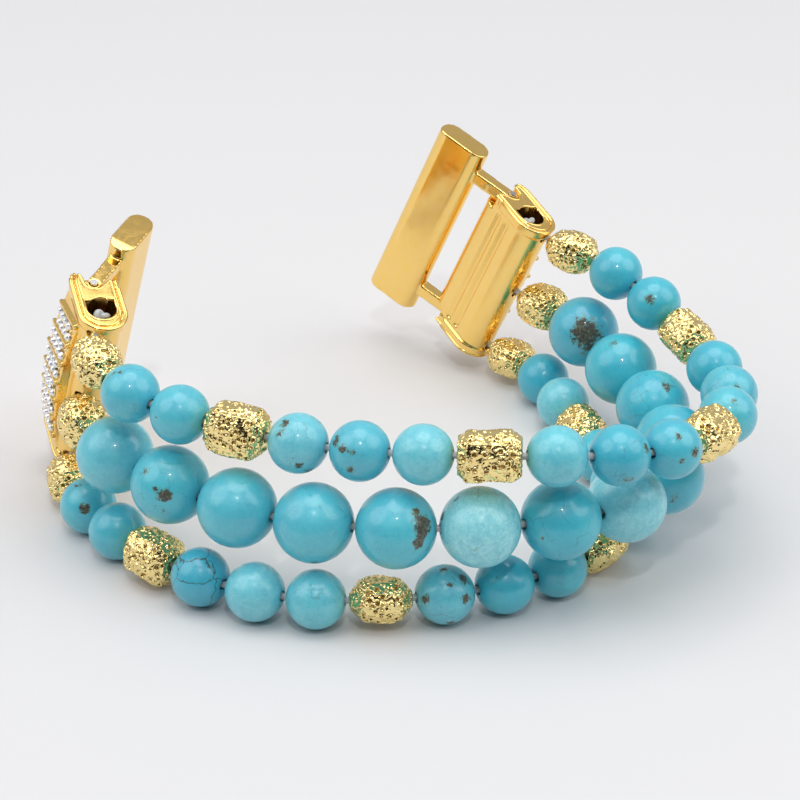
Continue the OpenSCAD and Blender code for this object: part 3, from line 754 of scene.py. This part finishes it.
def mark_bead(bm, verts, item):
    """Writes a bead's marks into its vertices: matrix patches, chalk, depth of tone and veins."""
    name = item["name"]
    draw = random.Random(f"{bpy.context.scene.band_colours.seed} {name}")
    right = Vector((1, 0, 0))
    spots = []
    for x, y, size, strength in SPOTS.get(name, []):
        z = math.sqrt(max(1 - x * x - y * y, 0))
        spots.append((x * right + y * CAMERA_UP + z * CAMERA_BACK, size, strength))
    for _ in range(draw.choice(BACK_COUNTS)):
        way = Vector([draw.gauss(0, 1) for _ in range(3)]).normalized()
        if way.dot(CAMERA_BACK) < BACK_LEAN:
            spots.append((way, draw.uniform(*BACK_SIZE), draw.uniform(*BACK_STRENGTH)))
    matrix, pale, deep, vein = (bm.verts.layers.float[mark] for mark in MARKS)
    chalk = PALE.get(name, draw.uniform(0, MOST_PALE))
    tone = DEEP.get(name, draw.uniform(0, MOST_DEEP))
    lines = VEINS.get(name, draw.choice(VEIN_CHOICE))
    for vert in verts:
        way = (vert.co - item["centre"]).normalized()
        value = 0.0
        for spot, size, strength in spots:
            away = way.angle(spot, 0) / size
            value = max(value, strength * math.exp(-away * away / SPOT_FALL))
        vert[matrix] = value
        vert[pale], vert[deep], vert[vein] = chalk, tone, lines


def bead_pieces(start, slot, steps):
    """One object with the beads of each node whose name starts so."""
    sizes = bpy.context.scene.band_sizes
    nodes = {}
    for row in STRANDS:
        for item in ITEMS[row]:
            if item["node"].startswith(start):
                nodes.setdefault(item["node"], []).append(item)
    for node, items in nodes.items():
        bm = bmesh.new()
        for mark in MARKS:
            bm.verts.layers.float.new(mark)
        for item in items:
            add_bead(bm, item, sizes, steps)
        bmesh.ops.recalc_face_normals(bm, faces=bm.faces)
        number = node.split("_")[-1]
        dress(piece_from(bm, f"{slot}_{number}"), slot, items[0]["body"], [node])


class BAND_OT_large_beads(bpy.types.Operator):
    """Polished large turquoise beads of the middle strand"""

    bl_idname = "band.large_beads"
    bl_label = "Large beads"

    def execute(self, context):
        bead_pieces("large_bead", "turquoise_large", LARGE_STEPS)
        return {"FINISHED"}


class BAND_OT_small_beads(bpy.types.Operator):
    """Polished small turquoise beads of the outer strands"""

    bl_idname = "band.small_beads"
    bl_label = "Small beads"

    def execute(self, context):
        bead_pieces("small_beads", "turquoise_small", SMALL_STEPS)
        return {"FINISHED"}


# Nuggets

# The skin is plain up to the first distance from the hole's middle, and pitted from the second
PLAIN_ROUND_HOLE = (0.7 * MM, 1.2 * MM)
# Pits, in pit spacings: from full depth to none, and the raised rim of a large one
LARGE_PIT = (0.18, 0.38)
SMALL_PIT = (0.12, 0.34)
PIT_RIM, PIT_RIM_WIDTH = 0.43, 0.09
CELL = {"distance_metric": "DISTANCE", "exponent": 2.5}
# How much finer than the large pits each layer is, and how much it presses, in pit depths
FINER = {"small": 1.8, "waves": 0.45, "lumps": 1.4, "worms": 2.6}
PRESS = {"all": 0.6, "large": 0.9, "rim": 0.5, "small": 0.35, "waves": 0.4, "lumps": 0.3,
         "worms": 0.3}
# Share of the small pits in the pit mask, which paints shade into the gold and roughens it
SMALL_TONE = 0.5
NUGGET_SHIFT = (3.7, 1.3, 2.1)


def read_vectors(source, count, key):
    values = np.empty(count * 3, np.float32)
    source.foreach_get(key, values)
    return values.reshape(-1, 3)


def pit_nugget(obj, item, sizes, shift):
    """Presses round pits of two sizes into a nugget and ripples the metal between them."""
    mesh = obj.data
    count = len(mesh.vertices)
    places = read_vectors(mesh.vertices, count, "co")
    normals = read_vectors(mesh.vertex_normals, count, "vector")
    pits = np.zeros(count, np.float32)
    for i in range(count):
        point = Vector(places[i])
        spoke = off_axis(point - item["centre"], item["axis"])
        out = soft_step(*PLAIN_ROUND_HOLE, spoke.length)
        if out <= 0:
            continue
        at = point / sizes.pit_cell + shift
        large = noise.voronoi(at, **CELL)[0][0]
        small = noise.voronoi(at * FINER["small"] + shift, **CELL)[0][0]
        waves = noise.noise(at * FINER["waves"])
        lumps = noise.noise(at * FINER["lumps"])
        worms = noise.noise(at * FINER["worms"] + shift)
        deep = 1 - soft_step(*LARGE_PIT, large)
        fine = 1 - soft_step(*SMALL_PIT, small)
        rim = math.exp(-((large - PIT_RIM) / PIT_RIM_WIDTH) ** 2)
        press = (PRESS["all"] + PRESS["large"] * deep - PRESS["rim"] * rim
                 + PRESS["small"] * fine + PRESS["waves"] * waves + PRESS["lumps"] * lumps
                 + PRESS["worms"] * worms)
        places[i] -= normals[i] * max(press, 0) * sizes.pit_depth * out
        # The pit mask: painted shade in the gold's colour, and more roughness
        pits[i] = max(deep, SMALL_TONE * fine) * out
    mesh.vertices.foreach_set("co", places.ravel())
    layer = mesh.attributes.new("pit", "FLOAT", "POINT")
    layer.data.foreach_set("value", pits)
    mesh.update()


class BAND_OT_nuggets(bpy.types.Operator):
    """Cast gold nuggets with pitted faces"""

    bl_idname = "band.nuggets"
    bl_label = "Gold nuggets"

    def execute(self, context):
        sizes = context.scene.band_sizes
        nuggets = [item for row in STRANDS for item in ITEMS[row] if "nugget" in item["node"]]
        for n, item in enumerate(nuggets):
            obj = casting(item["node"], sizes.nugget_grid, NUGGET_ROUNDS)
            pit_nugget(obj, item, sizes, Vector([step * n for step in NUGGET_SHIFT]))
            dress(obj, "gold_nugget", item["body"], [item["node"]])
        return {"FINISHED"}


# Connectors

SIDES = {"left": -1, "right": 1}
SQUARE = 0.002
NOSE_R = 2.3 * MM
RIM_LEN = 1.1 * MM
RIM_R = 0.2 * MM
RIM_INSET = 0.1 * MM
RIM_SINK = 0.12 * MM
CAP_DEPTH = 0.02 * MM
CROWN_H = 1.2 * MM
CROWN_END_H = 0.15 * MM
CROWN_FROM = -0.4 * MM
CROWN_TO = 4.9 * MM
RIDGE_H = 0.4 * MM
RIDGE_SLANT = math.radians(14)
RIDGE_MM, STONE_ROW_MM, CLEARANCE_MM = 0.5, 1.04, 0.14
RIDGE_PITCH = (RIDGE_MM + 2 * STONE_ROW_MM + CLEARANCE_MM) * MM / math.cos(RIDGE_SLANT)
RIDGE_MARGIN = 0.1 * MM
RIDGE_STEPS = 24


def connector_frame(name):
    """Place and directions of a connector, read from its hinge and flat faces, and its length."""
    middle, up = hinge_of(name)
    bm = merged_copy(name + "_connector")
    walls = [(f, -f.normal if f.normal.x < 0 else f.normal)
             for f in bm.faces if abs(f.normal.dot(up)) < SQUARE]
    across, _ = widest_side(walls, 2)
    heights = [(vert.co - middle).dot(up) for vert in bm.verts]
    centre = mean_point([v.co for v in bm.verts])
    bm.free()
    along = across.cross(up).normalized()
    if along.dot(centre - middle) < 0:
        along = -along
    return middle, along, up.cross(along), up, max(heights) - min(heights)


def ridge_piece(name):
    """Rounded wires over the slanting ridges of the decorated face."""
    sizes = bpy.context.scene.band_sizes
    middle, along, across, up, long = connector_frame(name)
    half = long / 2 - RIM_LEN
    rise = CROWN_H - CROWN_END_H
    bend = (rise * rise + half * half) / (2 * rise)
    hub = NOSE_R + CROWN_H - bend
    count = int(long / RIDGE_PITCH / 2)
    reach = bend + RIDGE_H - sizes.ridge
    lines = []
    for n in range(-count, count + 1):
        points = []
        for step in range(RIDGE_STEPS + 1):
            x = CROWN_FROM + (CROWN_TO - CROWN_FROM) * step / RIDGE_STEPS
            z = n * RIDGE_PITCH + (x - (CROWN_FROM + CROWN_TO) / 2) * math.tan(RIDGE_SLANT)
            if abs(z) > half - RIDGE_MARGIN:
                continue
            y = SIDES[name] * (hub + math.sqrt(reach * reach - z * z))
            points.append(middle + along * x + across * y + up * z)
        if len(points) > 3:
            lines.append(points)
    obj = tube_piece(f"gold_{name}_ridges", lines, sizes.ridge)
    dress(obj, "gold_connector", name + "_end")


def edge_loops(edges):
    """Closed lines of vertices along a set of edges."""
    links = {}
    for edge in edges:
        for vert in edge.verts:
            links.setdefault(vert, []).append(edge)
    left, loops = dict.fromkeys(edges), []
    while left:
        edge = next(iter(left))
        del left[edge]
        loop = [edge.verts[0], edge.verts[1]]
        while loop[-1] != loop[0]:
            edge = next(e for e in links[loop[-1]] if e in left)
            del left[edge]
            loop.append(edge.other_vert(loop[-1]))
        loops.append(loop)
    return loops


def rim_piece(name):
    """Rolled rims along every edge of a connector's two end faces."""
    middle, _, _, up, long = connector_frame(name)
    bm = merged_copy(name + "_connector")
    lines = []
    for end in (-up, up):
        cap = {f for f in bm.faces if f.normal.dot(end) > 0.999
               and (f.calc_center_median() - middle).dot(end) > long / 2 - CAP_DEPTH}
        inward = {}
        edges = [e for e in bm.edges if sum(f in cap for f in e.link_faces) == 1]
        for edge in edges:
            face = next(f for f in edge.link_faces if f in cap)
            way = end.cross(edge.verts[1].co - edge.verts[0].co).normalized()
            if way.dot(face.calc_center_median() - edge.verts[0].co) < 0:
                way = -way
            for vert in edge.verts:
                inward[vert] = inward.get(vert, Vector()) + way
        for loop in edge_loops(edges):
            lines.append([v.co + inward[v].normalized() * RIM_INSET - end * RIM_SINK
                          for v in loop])
    bm.free()
    dress(tube_piece(f"gold_{name}_rims", lines, RIM_R), "gold_connector", name + "_end")


class BAND_OT_connectors(bpy.types.Operator):
    """Cast gold connectors with their ridges and rolled rims"""

    bl_idname = "band.connectors"
    bl_label = "Connectors"

    def execute(self, context):
        for name in SIDES:
            node = name + "_connector"
            obj = casting(node, context.scene.band_sizes.cast_grid, CAST_ROUNDS)
            dress(obj, "gold_connector", name + "_end", [node])
            ridge_piece(name)
            rim_piece(name)
        return {"FINISHED"}


# Rhinestones

FACETS = 8
STONE_HEIGHT = 0.5 * MM
STONE_TURN = 2.4
# Share of the width, share of the height and turn in facets of each ring of corners
STONE_RINGS = ((0.94, 0.0, 0.0), (1.0, 0.24, 0.0), (1.0, 0.4, 0.5), (0.78, 0.72, 0.0),
               (0.5, 1.0, 0.5))


def stone_shape(size, height):
    """A faceted stone on its flat foot: girdle, eight mains and a table."""
    bm = bmesh.new()
    for share, level, turn in STONE_RINGS:
        for k in range(FACETS):
            a = math.tau * (k + turn) / FACETS
            bm.verts.new((share * size / 2 * math.cos(a), share * size / 2 * math.sin(a),
                          level * height))
    hull = bmesh.ops.convex_hull(bm, input=bm.verts)
    inside = [v for v in hull["geom_interior"] if isinstance(v, bmesh.types.BMVert)]
    bmesh.ops.delete(bm, geom=inside, context="VERTS")
    bmesh.ops.dissolve_limit(bm, angle_limit=math.radians(3), verts=bm.verts, edges=bm.edges)
    mesh = bpy.data.meshes.new("stone_shape")
    bm.to_mesh(mesh)
    bm.free()
    return mesh


class BAND_OT_rhinestones(bpy.types.Operator):
    """Faceted rhinestones between the ridges"""

    bl_idname = "band.rhinestones"
    bl_label = "Rhinestones"

    def execute(self, context):
        shape = stone_shape(context.scene.band_sizes.stone, STONE_HEIGHT)
        for name in SIDES:
            source = merged_copy(name + "_rhinestones")
            source.faces.index_update()
            bm = bmesh.new()
            for n, group in enumerate(solids_of(source)):
                faces = {f.index: (f, f.normal) for v in group for f in v.link_faces}.values()
                inward, place = widest_side(faces, 3)
                turn = Vector((0, 0, 1)).rotation_difference(-inward).to_matrix().to_4x4()
                spin = Matrix.Rotation(STONE_TURN * n, 4, "Z")
                start = len(bm.verts)
                bm.from_mesh(shape)
                bm.verts.ensure_lookup_table()
                bmesh.ops.transform(bm, matrix=Matrix.Translation(place) @ turn @ spin,
                                    verts=bm.verts[start:])
            source.free()
            bmesh.ops.recalc_face_normals(bm, faces=bm.faces)
            obj = piece_from(bm, f"{name}_stones", smooth=False)
            dress(obj, "rhinestone", name + "_end", [name + "_rhinestones"])
        bpy.data.meshes.remove(shape)
        return {"FINISHED"}


# Adapters and spring bars

POCKET_GAP = 0.05 * MM
POCKET_FLOOR = 0.3 * MM
COIL_TURNS = 8
COIL_STEPS = 12
COIL_WIRE = 0.1 * MM
BAR_SLOTS = {"latch": "gold_adapter", "bar_tube": "steel_bar", "tip_top": "steel_bar",
             "tip_bottom": "steel_bar"}


def clear_pocket(obj, name):
    """Keeps the pocket in an adapter open for its latch button, down to the end of its travel."""
    press = joint_named(name + "_latch_press")
    way = Vector(press["axis"]).normalized()
    button = points_of(name + "_latch")
    centre = mean_point(button)
    if way.dot(centre - mean_point([v.co for v in obj.data.vertices])) > 0:
        way = -way
    wall = max(off_axis(p - centre, way).length for p in button) + POCKET_GAP
    base = max((p - centre).dot(way) for p in button) + press["range_m"][1] + POCKET_GAP
    for vert in obj.data.vertices:
        deep = (vert.co - centre).dot(way)
        spoke = off_axis(vert.co - centre, way)
        if spoke.length < wall and deep < base:
            if deep > base - POCKET_FLOOR:
                vert.co += (base - deep) * way
            else:
                vert.co += (wall - spoke.length) * spoke.normalized()


def coil_pieces(name):
    """The spring in the bar as two halves, which meet in the middle."""
    node = name + "_bar_spring"
    middle, up = hinge_of(name)
    heights = [(p - middle).dot(up) for p in points_of(node)]
    low, high = min(heights) + COIL_WIRE, max(heights) - COIL_WIRE
    radius = max(off_axis(p - middle, up).length for p in points_of(node)) - COIL_WIRE
    side = up.orthogonal().normalized()
    other = up.cross(side)
    centre = (low + high) / 2
    count = COIL_TURNS * COIL_STEPS
    for half, start, end in (("top", centre, high), ("bottom", low, centre)):
        points = []
        for i in range(count + 1):
            a = math.tau * COIL_TURNS / 2 * i / count
            z = start + (end - start) * i / count
            points.append(middle + up * z + radius * (math.cos(a) * side + math.sin(a) * other))
        obj = tube_piece(f"{name}_coil_{half}", [points], COIL_WIRE, rounding=1)
        dress(obj, "steel_bar", name + "_end", [node])
        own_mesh(obj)


class BAND_OT_adapters(bpy.types.Operator):
    """Smooth slide-in adapters, their latches and the spring bars"""

    bl_idname = "band.adapters"
    bl_label = "Adapters and bars"

    def execute(self, context):
        for name in SIDES:
            node = name + "_adapter"
            obj = casting(node, context.scene.band_sizes.cast_grid, CAST_ROUNDS)
            clear_pocket(obj, name)
            dress(obj, "gold_adapter", node, [node])
            for part, slot in BAR_SLOTS.items():
                bar = frame["nodes"][f"{name}_{part}"]
                bar.data.materials.clear()
                bar.data.materials.append(finish(slot))
            coil_pieces(name)
        return {"FINISHED"}


# Cords

PATH_STEPS = 10
KNOT_R = 0.72 * MM
KNOT_STEPS = 48
# A knot lies behind the last item, no farther from it, and no wider
KNOT_BEHIND = 3.5 * MM
KNOT_WITHIN = 12 * MM
KNOT_SPREAD = 2.3 * MM
BLEND_HALF_MM = 1.2


def strand_path(items, first, last):
    """Points along a cord through its items, and the number of the point in each middle."""
    spots = [first] + [item["centre"] for item in items] + [last]
    ways = ([(spots[1] - first).normalized()] + [item["axis"] for item in items]
            + [(last - spots[-2]).normalized()])
    points, middles = [], []
    for i in range(len(spots) - 1):
        a, b = spots[i], spots[i + 1]
        span = (b - a).length
        middles.append(len(points))
        for k in range(PATH_STEPS):
            t = k / PATH_STEPS
            points.append(a * (2 * t ** 3 - 3 * t ** 2 + 1)
                          + ways[i] * span * (t ** 3 - 2 * t ** 2 + t)
                          + b * (3 * t ** 2 - 2 * t ** 3) + ways[i + 1] * span * (t ** 3 - t ** 2))
    middles.append(len(points))
    points.append(last)
    return points, middles


def knot_places(row, items):
    """Middles of the two knots of a cord, from the ends of its node."""
    found = []
    for item, sign in ((items[0], -1), (items[-1], 1)):
        far = [p for p in points_of(row + "_cord")
               if (p - item["centre"]).dot(item["axis"]) * sign > KNOT_BEHIND
               and (p - item["centre"]).length < KNOT_WITHIN]
        tip = max(far, key=lambda p: (p - item["centre"]).dot(item["axis"]) * sign)
        near = [p for p in far if (p - tip).length < KNOT_SPREAD]
        low = Vector([min(p[i] for p in near) for i in range(3)])
        high = Vector([max(p[i] for p in near) for i in range(3)])
        found.append((low + high) / 2)
    return found


def knot_line(centre, way):
    """A small overhand knot as a closed line."""
    turn = Vector((0, 0, 1)).rotation_difference(way).to_matrix()
    points = []
    for k in range(KNOT_STEPS + 1):
        t = math.tau * k / KNOT_STEPS
        p = Vector((math.sin(t) + 2 * math.sin(2 * t), math.cos(t) - 2 * math.cos(2 * t),
                    -math.sin(3 * t)))
        points.append(centre + turn @ (p * KNOT_R / 3))
    return points


def cord_pieces(row, radius, fixed):
    """The runs of a cord that bend between two bodies; those on one body are added to fixed."""
    items = ITEMS[row]
    first, last = knot_places(row, items)
    points, middles = strand_path(items, first, last)
    fixed["left_end"] += [knot_line(first, items[0]["axis"]), points[:middles[1] + 1]]
    fixed["right_end"] += [knot_line(last, items[-1]["axis"]), points[middles[-2]:]]
    for i, (item, following) in enumerate(zip(items, items[1:])):
        a, b = item["carrier"], following["carrier"]
        line = points[middles[i + 1]:middles[i + 2] + 1]
        if a == b:
            fixed.setdefault(a, []).append(line)
            continue
        obj = tube_piece(f"{row}_cord_{CHAIN.index(b)}", [line], radius)
        dress(obj, "elastic_cord", None, [row + "_cord"])
        gap = (item["centre"] + following["centre"]) / 2
        way = (following["centre"] - item["centre"]).normalized()
        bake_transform(obj, a, b, gap - way * BLEND_HALF_MM * MM, gap + way * BLEND_HALF_MM * MM)


class BAND_OT_cords(bpy.types.Operator):
    """Elastic cords with their knots, which bend and stretch between the bodies"""

    bl_idname = "band.cords"
    bl_label = "Elastic cords"

    def execute(self, context):
        radius = context.scene.band_sizes.cord
        fixed = {"left_end": [], "right_end": []}
        for row in STRANDS:
            cord_pieces(row, radius, fixed)
        for body, lines in fixed.items():
            obj = tube_piece(f"cord_runs_{body}", lines, radius)
            dress(obj, "elastic_cord", body)
        return {"FINISHED"}


# Stage

# Name, place, width and power of each lamp
LAMPS = (("front_lamp", (0.03, -0.44, 0.68), 0.04, 0.8),
         ("right_box", (0.6, -0.1, 0.55), 0.75, 2.4),
         ("left_box", (-0.6, -0.1, 0.55), 0.75, 2.2),
         ("top_box", (0.0, 0.1, 0.95), 0.8, 4.0))
LAMP_TARGET = (0, 0, 0.01)
ROOM_TONES = (0.86, 0.86, 0.88, 1), (0.03, 0.028, 0.026, 1)
ROOM_STRENGTH = 0.55
FLOOR_R = 4.0
FLOOR_SIDES = 96
FLOOR_DROP = 0.01 * MM
CAMERA_PLACE = (1.1 * MM, -217.63 * MM, 125 * MM)
LENS_MM = 101.5
SENSOR_MM = 36
NEAR_CLIP = 0.01


def add_lamp(name, place, size, power):
    """A round soft lamp that looks at the band."""
    data = bpy.data.lights.new(name, "AREA")
    data.shape = "DISK"
    data.size = size
    data.energy = power
    lamp = add_object(name, data)
    lamp.location = place
    lamp.rotation_euler = (Vector(LAMP_TARGET) - Vector(place)).to_track_quat("-Z", "Y").to_euler()


def studio_world(world):
    """A pale room, darker low down and behind the camera, which gives gold its contrast."""
    world.use_nodes = True
    tree = world.node_tree
    way = add_node(tree, "ShaderNodeTexCoord")["Generated"]
    parts = add_node(tree, "ShaderNodeSeparateXYZ", {"Vector": way})
    dark = times(tree, fade(tree, parts["Y"], 0.3, -0.5), fade(tree, parts["Z"], 0.74, 0.42))
    set_inputs(tree, tree.nodes["Background"],
               {"Color": mix(tree, dark, *ROOM_TONES), "Strength": ROOM_STRENGTH})


class BAND_OT_stage(bpy.types.Operator):
    """Pale floor, soft studio light and the camera"""

    bl_idname = "band.stage"
    bl_label = "Stage"

    def execute(self, context):
        scene = context.scene
        bm = bmesh.new()
        bmesh.ops.create_circle(bm, cap_ends=True, segments=FLOOR_SIDES, radius=FLOOR_R)
        floor = piece_from(bm, "studio_floor")
        floor.data.materials.append(new_material("studio_floor", studio_floor))
        floor.data.transform(Matrix.Translation((0, 0, CAD_BOX[0][2] - FLOOR_DROP)))
        for name, place, size, power in LAMPS:
            add_lamp(name, place, size, power)
        scene.world = scene.world or bpy.data.worlds.new("studio")
        studio_world(scene.world)
        scene.view_settings.view_transform = "Standard"
        data = bpy.data.cameras.new("photo_camera")
        data.lens = LENS_MM
        data.sensor_width = SENSOR_MM
        data.clip_start = NEAR_CLIP
        camera = add_object("photo_camera", data)
        camera.location = CAMERA_PLACE
        camera.rotation_euler = (math.pi / 2 - CAMERA_PITCH, 0, 0)
        scene.camera = camera
        return {"FINISHED"}


class BAND_PT_panel(bpy.types.Panel):
    """Buttons that dress the band, in the order in which they are used"""

    bl_label = "Stretch band"
    bl_idname = "BAND_PT_panel"
    bl_space_type = "VIEW_3D"
    bl_region_type = "UI"
    bl_category = "Band"

    def draw(self, context):
        layout = self.layout
        for group in (context.scene.band_sizes, context.scene.band_colours):
            box = layout.box()
            for key in group.__annotations__:
                box.prop(group, key)
        for operator in OPERATORS:
            layout.operator(operator.bl_idname)


OPERATORS = (BAND_OT_large_beads, BAND_OT_small_beads, BAND_OT_nuggets, BAND_OT_connectors,
             BAND_OT_rhinestones, BAND_OT_adapters, BAND_OT_cords, BAND_OT_stage)
CLASSES = (BandSizes, BandColours, *OPERATORS, BAND_PT_panel)


def register():
    for cls in CLASSES:
        bpy.utils.register_class(cls)
    bpy.types.Scene.band_sizes = PointerProperty(type=BandSizes)
    bpy.types.Scene.band_colours = PointerProperty(type=BandColours)


def unregister():
    del bpy.types.Scene.band_colours
    del bpy.types.Scene.band_sizes
    for cls in reversed(CLASSES):
        bpy.utils.unregister_class(cls)


def main():
    register()
    for operator in OPERATORS:
        group, name = operator.bl_idname.split(".")
        getattr(getattr(bpy.ops, group), name)()


if __name__ == "__main__":
    main()
